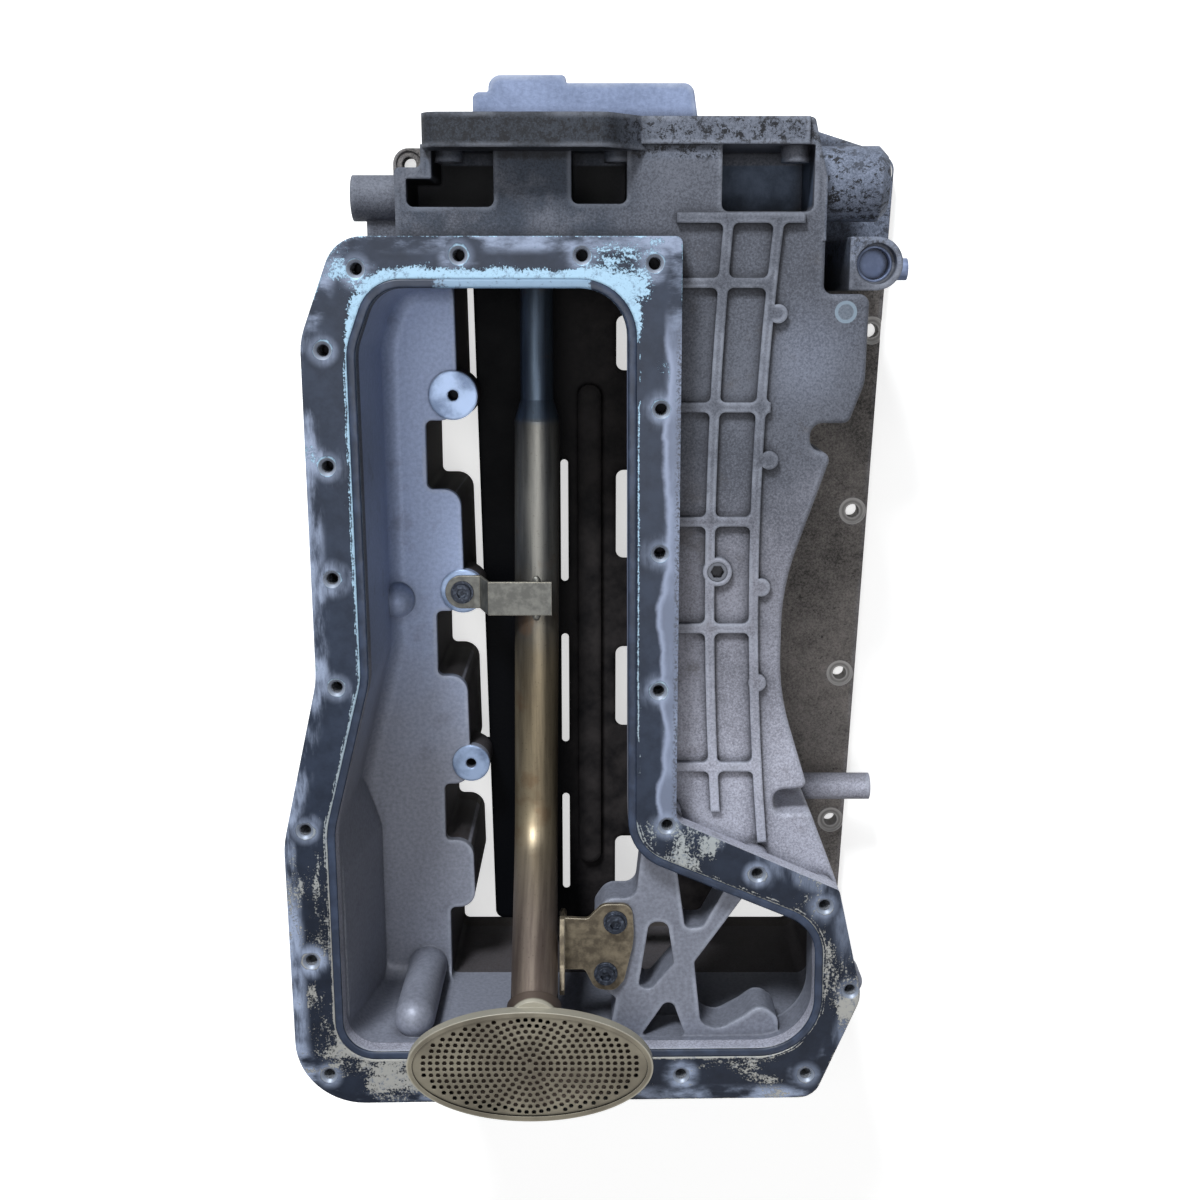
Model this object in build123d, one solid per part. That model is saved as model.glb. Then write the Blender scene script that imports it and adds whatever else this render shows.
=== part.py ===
from build123d import *
import math
import os

os.makedirs("parts", exist_ok=True)

# Upper oil pan of an engine, cast in aluminium, with its pickup tube and windage tray.
# It lies on its block rail with the sump opening up. Lengths are in millimetres.
# Plan sizes are measured from a point by the far edge of the sump opening,
# and heights from the block rail. The finished assembly is moved onto its own centre at the end.

# Heights above the block rail
pan_height = 195.0
flange_thick = 12.0
plate_height = 167.0
shelf_height = 95.0
rail_thick = 14.0
wall = 6.0
sump_floor_radius = 10.0
plate_edge_radius = 3.0

# Sump flange: corners of its rim and of its opening, each with its rounding
flange_corners = [
    (45.5, 31.5, 4), (-146, 31.5, 22), (-167.3, -25, 40), (-166.8, -222, 60),
    (-190.5, -324, 60), (-189.5, -497.2, 42), (134, -492.6, 14), (161.5, -424, 22),
    (145.5, -353.5, 4), (45.8, -309, 8),
]
opening_corners = [
    (15.5, 3.6, 27), (-124.5, 3.6, 20), (-136.8, -30, 30), (-135.6, -222, 50),
    (-159.4, -315, 50), (-159.2, -461.6, 20), (133, -458.8, 34), (131.5, -378, 26),
    (17, -329.6, 32),
]
flange_holes = [
    (-134.9, 14.0), (-78.0, 21.2), (-10.0, 21.2), (30.2, 16.8),
    (-155.0, -30.5), (-155.0, -95.6), (-155.0, -160.7), (-155.0, -225.8),
    (-177.5, -315.2), (-177.5, -400.2),
    (-169.5, -477.5), (-96.1, -477.5), (-22.7, -477.5), (50.7, -477.5), (128.9, -477.1),
    (154.5, -419.9), (137.0, -363.8), (95.4, -343.1), (40.4, -311.8),
    (34.5, -228.0), (34.5, -145.6), (34.5, -63.2),
]
thread_radius = 3.4
thread_depth = 22.0
thread_chamfer = 1.8
flange_boss_radius = 9.5
flange_boss_drop = 16.0

# Crankcase box under the sump: its left wall follows bays between the bearing lobes
left_wall_x = (-92.0, -84.5)
left_bays = [
    (-111.0, -78.0, -122.0), (-107.0, -202.0, -246.0),
    (-104.5, -321.0, -361.5), (-102.5, -410.0, -453.0),
]
bay_corner_radius = 4.0
lobe_corner_radius = 11.0
end_wall_y = 40.0
near_wall_y = -461.6
plate_edge_x = 128.5
plate_edge_corners = [
    (155.0, 0.4, 6), (154.2, -50, 22), (145.5, -73.5, 5), (123.3, -73.5, 7.4),
    (123.3, -89.1, 7.4), (136.5, -91.5, 5), (109.5, -171, 150), (109.5, -237, 150),
    (128.6, -298.5, 4), (107.5, -300.0, 6.5), (107.5, -315.0, 6.5), (131.0, -314.5, 4),
    (150.0, -364.0, 30), (150.0, near_wall_y - 6, 14),
]

# Block rail: its rim and its bolt holes
rail_corners = [
    (196.5, 91.0, 10), (192.0, -20.0, 60), (176.5, -445.0, 20), (168.0, -480.0, 14),
    (-140.0, -480.0, 14), (-138.0, 95.5, 10.4),
]
rail_holes = [
    (185.7, 80.0), (185.7, -23.9), (177.3, -148.4), (172.6, -266.2), (169.9, -378.1), (156.0, -468.0),
    (-127.4, 85.0), (-128.0, -23.9), (-128.0, -148.4), (-128.0, -266.2), (-128.0, -378.1), (-128.0, -468.0),
]
rail_hole_radius = 4.75
spotface_radius = 8.6
spotface_depth = 1.0

# Bosses on the shelf edge, with the drilling for their screws
shelf_bosses = [(-93.0, -62.2, 15.5), (-89.4, -188.6, 14.3), (-86.2, -306.2, 12.5)]
shelf_boss_rise = 1.0
shelf_drill_radius = 3.4
shelf_drill_depth = 18.0

# Ribbed plate
rib_width = 5.6
rib_height = 4.0
rib_corner_radius = 3.5
cross_ribs = [
    (42.5, 116.0), (6.6, 101.0), (-63.9, 99.0), (-131.0, 94.0), (-195.7, 93.0), (-283.0, 98.0),
]
long_ribs = [
    ((73.0, 44.0), (66.0, -205.0), (71.2, -312.0)),
    ((101.5, 44.0), (92.2, -200.0), (100.5, -332.0)),
]
plate_dots = [(102.0, -10.6), (99.0, -94.6), (96.2, -170.6), (95.2, -229.5)]
plate_dot_radius = 5.4
socket_boss = (69.9, -161.2)
socket_boss_radius = 8.6
socket_plug_radius = 6.0
socket_plug_length = 8.0
socket_across_flats = 7.0
socket_depth = 4.5

# End housing between the crankcase and the end flange
housing_left_x = -116.0
housing_step = (-101.0, 70.0)
end_flange_x = (-98.4, 120.4)
end_flange_y = (82.5, 97.2)
end_flange_rise = 3.0
hump_x = (-98.4, 4.0, 26.0)
hump_near_y = 79.0
hump_top = pan_height - 6.0
pocket_floor = 115.0
pockets = [(-109.5, -60.0, 48.5), (-16.2, 15.2, 50.2), (68.8, 121.0, 46.0)]
pocket_radius = 4.0
chamber_walls = (-66.0, -10.0)
end_bolt_x = (-86.0, 10.4, 111.0)
end_bolt_z = 156.0
end_bolt_radius = 4.25
end_boss_radius = 8.0
end_boss_length = 9.0

# Suction nose beyond the end flange
nose_corners = [
    (-72.0, 90.0, 0), (-72.0, 111.8, 4), (-63.0, 111.8, 1.5), (-63.0, 120.9, 7),
    (-19.2, 120.9, 2.6), (-19.2, 116.6, 1.2), (52.5, 116.6, 6), (56.6, 90.0, 0),
]
nose_height = (48.0, 155.0)

# Cast bosses round the end housing: across the pan, so their axes run along X
right_barrel = (64.0, 125.0, 21.6)
right_barrel_end = 164.0
right_barrel_tip = 169.0
left_barrel = (55.9, 125.0, 13.3)
left_barrel_end = -146.3
side_peg = (-340.5, 45.0, 9.3)
side_peg_end = 190.2

# Oil gallery boss with its pressed cup plug
gallery_boss = (163.2, 17.9, 15.4)
gallery_boss_left = 147.3
gallery_boss_top = 140.0
gallery_mouth_radius = 12.0
gallery_mouth_depth = 8.0
cup_plug_radius = 10.6
cup_plug_depth = 9.0
cup_plug_wall = 1.4
gallery_below_plug = 6.0
side_plug_z = 116.0
side_plug_offset = 2.8
side_plug_radius = 4.8
side_plug_depth = 9.0
side_plug_head_radius = 6.6
side_plug_head_length = 7.0

# Cast details inside the sump
dome_place = (-132.0, -194.0)
dome_radius = 11.5
dome_rise = 3.0
column_place = (-118.5, -452.0)
column_radius = 13.0
column_top = pan_height - 19.0
wedge_width = 12.0
wedge_start = -300.0
wedge_run = 50.0

# Brace across the narrow end of the opening
brace_top = pan_height - 16.0
brace_thick = 27.0
brace_corners = [
    (26.5, -325, 0), (22.3, -366, 8), (4.0, -366, 10), (-4.0, -378, 8), (1.0, -400, 8),
    (-6.0, -414, 9), (2.0, -427, 8), (10.5, -433, 4), (7.0, -452, 5), (22.0, -470, 0),
    (113.5, -470, 0), (112.5, -446.5, 8), (101.5, -437.5, 9), (90.0, -446.5, 20),
    (74.5, -455.5, 11), (63.5, -450.5, 8), (59.0, -408.6, 4), (88.0, -366, 0),
    (84.0, -345, 0), (76.5, -361.5, 0), (64.0, -385.5, 4.6), (53.0, -386.5, 4.6),
    (46.5, -340, 0),
]
brace_slot = [
    (30.6, -381.5, 5.5), (42.2, -381.5, 5.5), (46.4, -409.5, 2), (31.0, -428.5, 4.5),
    (24.2, -424.5, 3.5),
]
brace_triangle = [(44.3, -430.5, 4.5), (54.3, -459.6, 2), (25.6, -459.6, 2)]

# Windage tray
tray_height = 65.0
tray_thick = 1.6
tray_gap = 0.5
tray_left_x = (-82.0, -73.5)
tray_right_x = 88.0
tray_end_y = (36.0, -431.0)
tray_windows = [(-13.0, -48.0), (-113.0, -172.0), (-233.0, -289.0), (-369.5, -409.0)]
tray_window_x = (10.6, 42.0)
tray_window_radius = 5.0
tray_slots = [(-106.0, -188.0), (-224.0, -301.0), (-338.0, -409.0)]
tray_slot_x = -23.6
tray_slot_width = 5.0
tray_rib_x = -6.8
tray_rib_y = (-57.0, -387.0)
tray_rib_width = 15.0
tray_rib_height = 5.0
tray_tab_radius = 8.5
tray_tab_offset = 8.0
tray_posts = [(78.0, -20.0), (78.0, -200.0), (78.0, -360.0)]
tray_post_radius = 9.0
tray_screw_radius = 3.0
tray_screw_length = 14.0
tray_screw_head_radius = 5.0
tray_screw_head_height = 4.0

# Pickup tube
tube_radius = 14.25
tube_neck_radius = 10.3
tube_wall = 1.6
tube_height = 102.5
tube_port_height = 95.0
tube_x = (-39.5, -42.8, -39.2)
tube_shoulder_y = (-64.0, -77.0)
tube_knee_y = -354.0
tube_end_y = -419.1
tube_end_drop = 8.4
tube_seat_depth = 10.0
port_boss_radius = 18.0
port_boss_length = 12.0
port_clearance = 0.4
port_end_gap = 4.0
port_gallery_radius = 8.5
o_ring_section = 1.3
o_ring_groove = 3.4
o_ring_inset = 2.0

# Strap and bracket that hold the tube
strap_width = 21.5
strap_thick = 3.0
strap_joggle_x = (-77.5, -70.5)
strap_end_x = -30.6
strap_clearance = 0.1
bracket_thick = 3.0
bracket_corners = [
    (-22.0, -377.5, 0), (-7.5, -378.2, 4), (1.5, -368.5, 8), (19.8, -368.5, 7),
    (21.4, -392, 60), (15.0, -419.5, 7), (9.5, -426.3, 6), (-3.0, -425.5, 8),
    (-9.5, -412.0, 3), (-22.0, -412.0, 0),
]
bracket_bolts = [(9.5, -380.0), (3.6, -414.5)]
bracket_tail = [
    (-377.5, 0), (-412.0, 0), (-418.5, 11), (-420.0, 21), (-416.0, 23), (-404.0, 14), (-386.0, 10),
    (-377.5, 5),
]
bolt_head_radius = 7.4
bolt_head_height = 5.5
bolt_flange_height = 1.6
bolt_shank_radius = 4.0
bolt_shank_length = 16.0
bolt_socket_radius = 3.4
bolt_socket_depth = 3.2

# Strainer
strainer_centre = (-41.4, -444.6)
strainer_radii = (72.8, 35.4)
strainer_height = pan_height + 45.0
strainer_rim_height = 6.0
strainer_bell_height = 18.0
strainer_bell_floor = (40.0, 20.0)
strainer_rim_fold = 1.5
strainer_wall = 1.2
strainer_lip = 3.2
collar_radius = 16.4
collar_overlap = 5.5
collar_reach = 18.0
screen_thick = 1.0
screen_pitch = (4.2, 3.75)
screen_hole_radius = 1.5
screen_rings = 16
screen_margin = (6.5, 4.0)

# Bead of sealant left in a rebate along the opening
bead_width = 5.0
bead_depth = 1.0


def rounded(corners):
    """Face inside a row of corners, each given as x, y and its rounding radius."""
    points = [(x, y) for x, y, radius in corners]
    radii = [radius for x, y, radius in corners]
    return make_face(FilletPolyline(*points, radius=radii, close=True))


def slab(face, low, high):
    """Solid that stands on a plan face between two heights."""
    return Pos(0, 0, low) * extrude(face, amount=high - low, dir=(0, 0, 1))


def soft_slab(face, low, high):
    """Solid between two heights, with its top edges rounded."""
    solid = slab(face, low, high)
    return fillet(solid.faces().sort_by(Axis.Z)[-1].edges(), plate_edge_radius)


def box(x_low, x_high, y_low, y_high, z_low, z_high):
    """Box between its lowest and highest corner."""
    centre = Pos((x_low + x_high) / 2, (y_low + y_high) / 2, (z_low + z_high) / 2)
    return centre * Box(x_high - x_low, y_high - y_low, z_high - z_low)


def post(x, y, radius, low, high):
    """Round post that stands along Z."""
    return Pos(x, y, (low + high) / 2) * Cylinder(radius, high - low)


def barrel(y, z, radius, x_low, x_high):
    """Round bar that lies along X."""
    middle = Pos((x_low + x_high) / 2, y, z)
    return middle * Rot(0, 90, 0) * Cylinder(radius, x_high - x_low)


def spar(x, z, radius, y_low, y_high):
    """Round bar that lies along Y."""
    middle = Pos(x, (y_low + y_high) / 2, z)
    return middle * Rot(90, 0, 0) * Cylinder(radius, y_high - y_low)


def tapped_hole(x, y, top):
    """Drilling for a screw from above, with its countersunk mouth."""
    drill = post(x, y, thread_radius, top - thread_depth, top)
    mouth_radius = thread_radius + thread_chamfer
    mouth = Pos(x, y, top - thread_chamfer / 2) * Cone(thread_radius, mouth_radius, thread_chamfer)
    return [drill, mouth]


# Crankcase outline, from the outside of its wall
def left_wall_at(y):
    """Inner face of the left wall, which leans in a little towards the near end."""
    share = (end_wall_y - y) / (end_wall_y - near_wall_y)
    return left_wall_x[0] + share * (left_wall_x[1] - left_wall_x[0])


crankcase_corners = [(plate_edge_x, end_wall_y + wall, wall + 1), (plate_edge_x, 0.4, 5)]
crankcase_corners += plate_edge_corners
crankcase_corners.append((left_wall_x[1] - wall, near_wall_y - wall, wall + 2))
for bay_x, bay_far, bay_near in reversed(left_bays):
    near_side = bay_near - wall
    far_side = bay_far + wall
    bay_out = bay_x - wall
    if near_side > near_wall_y + lobe_corner_radius:
        lobe_out = left_wall_at(bay_near) - wall
        crankcase_corners.append((lobe_out, near_side, lobe_corner_radius - wall))
        crankcase_corners.append((bay_out, near_side, bay_corner_radius + wall))
    else:
        crankcase_corners.pop()
        crankcase_corners.append((bay_out, near_wall_y - wall, bay_corner_radius + wall))
    crankcase_corners.append((bay_out, far_side, bay_corner_radius + wall))
    crankcase_corners.append((left_wall_at(bay_far) - wall, far_side, lobe_corner_radius - wall))
crankcase_corners.append((left_wall_x[0] - wall, end_wall_y + wall, wall + 1))
crankcase_face = rounded(crankcase_corners)
crankcase_hollow = offset(crankcase_face, -wall)

opening_face = rounded(opening_corners)
flange_face = rounded(flange_corners)
sump_face = offset(opening_face, wall)
bead_face = offset(opening_face, bead_width) - opening_face
ceiling = plate_height - wall
flange_low = pan_height - flange_thick
rim_low = strainer_height - strainer_rim_height
tube_end = Vector(tube_x[2], tube_end_y, rim_low - tube_end_drop)


def casting():
    """The aluminium casting, from its walls to its drilled holes."""
    shell = [
        slab(sump_face, shelf_height - wall, flange_low),
        slab(flange_face, flange_low, pan_height),
        slab(rounded(rail_corners), 0, rail_thick),
    ]
    body = soft_slab(crankcase_face, 0, plate_height) + shell + flange_root() + end_housing()
    sump = slab(opening_face, shelf_height, pan_height)
    sump = fillet(sump.faces().sort_by(Axis.Z)[0].edges(), sump_floor_radius)
    rebate = slab(bead_face, pan_height - bead_depth, pan_height)
    body -= [sump, rebate, slab(crankcase_hollow, 0, ceiling)] + end_hollows()
    body = body + ([brace()] + bosses() + sump_details() + plate_ribs())
    return body - drillings()


def flange_root():
    """Thick metal under the far side of the flange, and the bosses of its tapped holes."""
    far_edge = flange_corners[0][1]
    root = box(housing_left_x, flange_corners[0][0], opening_corners[0][1], far_edge, ceiling, flange_low)
    low = flange_low - flange_boss_drop
    return [root] + [post(x, y, flange_boss_radius, low, flange_low) for x, y in flange_holes]


def end_housing():
    """Box between crankcase and end flange, with the suction nose beyond it."""
    step_x, step_y = housing_step
    far_low, far_high = end_flange_y
    inside = end_wall_y - 10
    barrel_y, barrel_z, barrel_radius = right_barrel
    outline = rounded([
        (housing_left_x, inside, 0), (housing_left_x, step_y, 3), (step_x, step_y, 3),
        (step_x, far_low, 0), (end_flange_x[0], far_low, 0), (end_flange_x[0], far_high, 3),
        (end_flange_x[1], far_high, 3), (plate_edge_x, barrel_y, 0), (plate_edge_x, inside, 0),
    ])
    blend = rounded([
        (end_flange_x[1], far_high - 1, 0), (right_barrel_end - 6, barrel_y + barrel_radius - 1, 4),
        (right_barrel_end - 6, barrel_y, 0), (end_flange_x[1] - 10, barrel_y, 0),
    ])
    band_top = plate_height + end_flange_rise
    hump_left, hump_right, hump_foot = hump_x
    hump = Plane.XZ * rounded([
        (hump_left, barrel_z, 0), (hump_foot + 8, barrel_z, 0), (hump_foot, plate_height, 4),
        (hump_right, hump_top, 12), (hump_left, hump_top, 10),
    ])
    hump = Pos(0, hump_near_y, 0) * extrude(hump, amount=far_high - hump_near_y, dir=(0, 1, 0))
    return slab(outline, 0, plate_height) + [
        slab(blend, rail_thick, barrel_z),
        hump & box(hump_left, hump_foot + 8, hump_near_y, far_high, plate_height - 1, hump_top),
        box(hump_left, end_flange_x[1] - 3, far_low, far_high, plate_height - 1, band_top),
        slab(rounded(nose_corners), nose_height[0], nose_height[1]),
    ]


def end_hollows():
    """Pockets in the top of the end housing, and chambers that open at the block rail."""
    hollows = [pocket(*place) for place in pockets]
    far = end_flange_y[1] - wall
    chamber_top = pocket_floor - wall
    left, right = chamber_walls
    for x_low, x_high in ((housing_step[0] + wall, left), (right, end_flange_x[1] - wall)):
        hollows.append(box(x_low, x_high, end_wall_y + wall, far, 0, chamber_top))
    return hollows


def pocket(x_low, x_high, y_low):
    """Pocket in the top of the end housing, that leaves the bosses of the end bolts standing."""
    step_x, step_y = housing_step
    far = end_flange_y[0]
    corners = [(x_low, y_low, pocket_radius), (x_high, y_low, pocket_radius), (x_high, far, 1)]
    if x_low < step_x:
        corners += [(step_x + wall, far, 1), (step_x + wall, step_y - wall, 1), (x_low, step_y - wall, 1)]
    else:
        corners.append((x_low, far, 1))
    hollow = slab(rounded(corners), pocket_floor, plate_height)
    bosses_left = [spar(x, end_bolt_z, end_boss_radius, far - end_boss_length, far) for x in end_bolt_x]
    return hollow - bosses_left


def brace():
    """Openwork brace across the narrow end of the opening."""
    sheet = rounded(brace_corners) - rounded(brace_slot) - rounded(brace_triangle)
    web = slab(sheet, brace_top - brace_thick, brace_top)
    return web & slab(sump_face, 0, flange_low)


def bosses():
    """Round bosses on the shelf, under the plate, on the sides and on the end wall."""
    solids = []
    low = tray_height + tray_thick
    for x, y, radius in shelf_bosses:
        solids.append(post(x, y, radius, low, shelf_height + shelf_boss_rise))
    for x, y in tray_posts:
        solids.append(post(x, y, tray_post_radius, low, ceiling + 1))
    y, z, radius = right_barrel
    solids.append(barrel(y, z, radius, plate_edge_x - wall, right_barrel_end))
    tip = right_barrel_tip - right_barrel_end
    tip_place = Pos((right_barrel_tip + right_barrel_end) / 2, y, z)
    solids.append(tip_place * Rot(0, 90, 0) * Cone(radius, radius - tip, tip))
    y, z, radius = left_barrel
    solids.append(barrel(y, z, radius, left_barrel_end, housing_left_x + 1))
    solids.append(box(left_barrel_end + 8, housing_left_x + 1, 30, y, z - 4, z + 4))
    y, z, radius = side_peg
    solids.append(barrel(y, z, radius, plate_edge_x + 10, side_peg_end))
    x, y, radius = gallery_boss
    boss = post(x, y, radius, rail_thick - 1, gallery_boss_top)
    boss += box(gallery_boss_left, x, y - radius, y + radius, rail_thick - 1, gallery_boss_top)
    solids.append(boss)
    face = end_wall_y - port_boss_length
    solids.append(spar(tube_x[0], tube_port_height, port_boss_radius, face, end_wall_y + 1))
    return solids


def sump_details():
    """Dome, column and leaning wall that stand on the shelf."""
    dome = Pos(dome_place[0], dome_place[1], shelf_height + dome_rise) * Sphere(dome_radius)
    dome = dome & box(-170, 0, -300, 0, shelf_height - 1, pan_height)
    column = post(column_place[0], column_place[1], column_radius, shelf_height - 1, column_top - 8)
    column += Pos(column_place[0], column_place[1], column_top - 8) * Sphere(column_radius)
    column = column & slab(sump_face, shelf_height - 1, flange_low)
    side = opening_corners[4][0]
    outside = side - wall / 2
    near = opening_corners[5][1] - wall / 2
    levels = []
    for width, z in ((wedge_width, shelf_height - 1), (1.0, flange_low - 4)):
        level = make_face(Polyline(
            (outside, wedge_start), (side + width, wedge_start - wedge_run), (side + width, near),
            (outside, near), close=True,
        ))
        levels.append(Pos(0, 0, z) * level)
    return [dome, column, loft(levels)]


def plate_ribs():
    """Low ribs and round marks on the outside of the plate."""
    low = plate_height - 0.5
    high = plate_height + rib_height
    edge = flange_corners[0][0] - 2
    grid = []
    for y, x_end in cross_ribs:
        grid.append(Pos((edge + x_end) / 2, y) * Rectangle(x_end - edge, rib_width))
    for start, middle, end in long_ribs:
        grid.append(trace(ThreePointArc(start, middle, end), line_width=rib_width))
    net = grid[0] + grid[1:]
    net = offset(offset(net, rib_corner_radius), -rib_corner_radius)
    solids = [slab(net, low, high)]
    for x, y in plate_dots:
        solids.append(post(x, y, plate_dot_radius, low, high))
    x, y = socket_boss
    solids.append(post(x, y, socket_boss_radius, plate_height - wall, high))
    return solids


def drillings():
    """Every drilled, bored and spotfaced hole."""
    cuts = []
    for x, y in flange_holes:
        cuts += tapped_hole(x, y, pan_height)
    top = shelf_height + shelf_boss_rise
    for x, y, radius in shelf_bosses:
        cuts.append(post(x, y, shelf_drill_radius, top - shelf_drill_depth, top))
    x, y, radius = shelf_bosses[1]
    cuts.append(post(x, y, bolt_shank_radius, top - shelf_drill_depth, top))
    low = tray_height + tray_thick
    for x, y in tray_screw_places():
        cuts.append(post(x, y, tray_screw_radius, low, low + tray_screw_length))
    for x, y in bracket_bolts:
        cuts.append(post(x, y, bolt_shank_radius, brace_top - bolt_shank_length, brace_top))
    for x, y in rail_holes:
        cuts.append(post(x, y, rail_hole_radius, 0, rail_thick))
        cuts.append(post(x, y, spotface_radius, rail_thick - spotface_depth, rail_thick))
    for x in end_bolt_x:
        length = end_boss_length + end_flange_y[1] - end_flange_y[0]
        cuts.append(spar(x, end_bolt_z, end_bolt_radius, end_flange_y[1] - length, end_flange_y[1]))
    x, y = socket_boss
    cuts.append(post(x, y, socket_plug_radius, ceiling, plate_height + rib_height))
    x, y, radius = gallery_boss
    plug_top = gallery_boss_top - gallery_mouth_depth
    cuts.append(post(x, y, gallery_mouth_radius, plug_top, gallery_boss_top))
    cuts.append(post(x, y, cup_plug_radius, plug_top - cup_plug_depth - gallery_below_plug, plug_top))
    side_low = x + radius - side_plug_depth
    cuts.append(barrel(y - side_plug_offset, side_plug_z, side_plug_radius, side_low, x + radius + 1))
    face = end_wall_y - port_boss_length
    seat = face + tube_seat_depth + port_end_gap
    bore = tube_neck_radius + port_clearance
    cuts.append(spar(tube_x[0], tube_port_height, bore, face, seat))
    groove = tube_neck_radius + 2 * o_ring_section
    groove_low = face + o_ring_inset
    cuts.append(spar(tube_x[0], tube_port_height, groove, groove_low, groove_low + o_ring_groove))
    nose_face = nose_corners[3][1]
    cuts.append(spar(tube_x[0], tube_port_height, port_gallery_radius, seat - 1, nose_face))
    return cuts


def tray():
    """Sheet steel tray, with windows, slots, a pressed rib and tabs under the bosses."""
    far, near = tray_end_y
    outline = [(tray_right_x, far, 6), (tray_right_x, near, 6), (tray_left_x[1], near, 6)]
    outline.append((tray_left_x[0], far, 6))
    sheet = rounded(outline)
    window_left, window_right = tray_window_x
    gaps = []
    for y_high, y_low in tray_windows:
        middle = Pos((window_left + window_right) / 2, (y_high + y_low) / 2)
        gaps.append(middle * RectangleRounded(window_right - window_left, y_high - y_low, tray_window_radius))
    for y_high, y_low in tray_slots:
        length = y_high - y_low
        gaps.append(Pos(tray_slot_x, (y_high + y_low) / 2) * SlotOverall(length, tray_slot_width, 90))
    low = tray_height
    high = tray_height + tray_thick
    tabs = []
    for x, y in tray_screw_places():
        tabs.append(post(x, y, tray_tab_radius, low, high))
    for x, y, radius in shelf_bosses:
        left = x + tray_tab_offset
        tabs.append(box(left, tray_left_x[1], y - tray_tab_radius, y + tray_tab_radius, low, high))
    body = (slab(sheet, low, high) + tabs) & slab(offset(crankcase_hollow, -tray_gap), low, high)
    middle = Pos(tray_rib_x, (tray_rib_y[0] + tray_rib_y[1]) / 2)
    length = tray_rib_y[0] - tray_rib_y[1]
    ridge = middle * SlotOverall(length, tray_rib_width, 90)
    groove = middle * SlotOverall(length - 2 * tray_thick, tray_rib_width - 2 * tray_thick, 90)
    body += slab(ridge, low, high + tray_rib_height)
    cuts = [slab(gap, low, high) for gap in gaps]
    cuts.append(slab(groove, low, high + tray_rib_height - tray_thick))
    for x, y in tray_screw_places():
        cuts.append(post(x, y, tray_screw_radius, low, high))
    return body - cuts


def tray_screw_places():
    """Screw places under the shelf bosses and under the posts of the plate."""
    return [(x + tray_tab_offset, y) for x, y, radius in shelf_bosses] + tray_posts


def tray_screw(x, y):
    """Screw that holds the tray from below."""
    head = post(x, y, tray_screw_head_radius, tray_height - tray_screw_head_height, tray_height)
    return head + post(x, y, tray_screw_radius, tray_height, tray_height + tray_screw_length)


def tube():
    """Bent steel tube with a swaged neck, open from the port to the strainer."""
    seat_y = end_wall_y - port_boss_length + tube_seat_depth
    shoulder_far, shoulder_near = tube_shoulder_y
    neck_line = FilletPolyline(
        (tube_x[0], seat_y, tube_port_height), (tube_x[0], 8.0, tube_port_height),
        (tube_x[0], shoulder_far + 18, tube_height), (tube_x[0], shoulder_far, tube_height), radius=60,
    )
    main_line = FilletPolyline(
        (tube_x[0], shoulder_near, tube_height), (tube_x[1], tube_knee_y, tube_height),
        tube_end, radius=48,
    )

    def skin(inset):
        neck_circle = Circle(tube_neck_radius - inset)
        main_circle = Circle(tube_radius - inset)
        main_start = Plane(main_line @ 0, z_dir=main_line % 0) * main_circle
        neck = sweep(Plane(neck_line @ 0, z_dir=neck_line % 0) * neck_circle, path=neck_line)
        shoulder = loft([Plane(neck_line @ 1, z_dir=neck_line % 1) * neck_circle, main_start])
        return neck + shoulder + sweep(main_start, path=main_line)

    return skin(0) - skin(tube_wall)


def o_ring():
    """Rubber ring between the tube's end and the port."""
    face = end_wall_y - port_boss_length
    middle = Pos(tube_x[0], face + o_ring_inset + o_ring_groove / 2, tube_port_height)
    return middle * Rot(90, 0, 0) * Torus(tube_neck_radius + o_ring_section, o_ring_section)


def strap():
    """Joggled strap from the middle shelf boss to the top of the tube."""
    x, y, radius = shelf_bosses[1]
    low = shelf_height + shelf_boss_rise
    high = tube_height + tube_radius + strap_clearance
    start, end = strap_joggle_x
    side = Plane.XZ * make_face(Polyline(
        (x - 11, low), (start, low), (end, high), (strap_end_x, high),
        (strap_end_x, high + strap_thick), (end - 0.5, high + strap_thick),
        (start - 0.5, low + strap_thick), (x - 11, low + strap_thick), close=True,
    ))
    bar = Pos(0, y - strap_width / 2, 0) * extrude(side, amount=strap_width, dir=(0, 1, 0))
    half = strap_width / 2
    end_shape = rounded([
        (x - 11, y + half, half - 0.1), (strap_end_x, y + half, 0), (strap_end_x, y - half, 0),
        (x - 11, y - half, half - 0.1),
    ])
    bar = bar & slab(end_shape, low, high + strap_thick)
    return bar - post(x, y, bolt_shank_radius + 0.4, low, low + strap_thick)


def flange_bolt(x, y, seat, length):
    """Flanged bolt with a round head and a drive socket."""
    flange = post(x, y, bolt_head_radius, seat, seat + bolt_flange_height)
    head = post(x, y, bolt_head_radius - 1.6, seat, seat + bolt_head_height)
    shank = post(x, y, bolt_shank_radius, seat - length, seat)
    top = seat + bolt_head_height
    socket = slab(Pos(x, y) * RegularPolygon(bolt_socket_radius, 6), top - bolt_socket_depth, top)
    return flange + head + shank - socket


def bracket():
    """Bent bracket from the brace to the side of the rising tube."""
    low = brace_top
    high = brace_top + bracket_thick
    plate = slab(rounded(bracket_corners), low, high)
    side = Plane.YZ * make_face(Polyline(*[(y, brace_top + rise) for y, rise in bracket_tail], close=True))
    edge = tube_x[2] + tube_radius + strap_clearance
    upright = Pos(edge, 0, 0) * extrude(side, amount=bracket_thick, dir=(1, 0, 0))
    body = plate + upright
    return body - [post(x, y, bolt_shank_radius + 0.4, low, high) for x, y in bracket_bolts]


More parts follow.
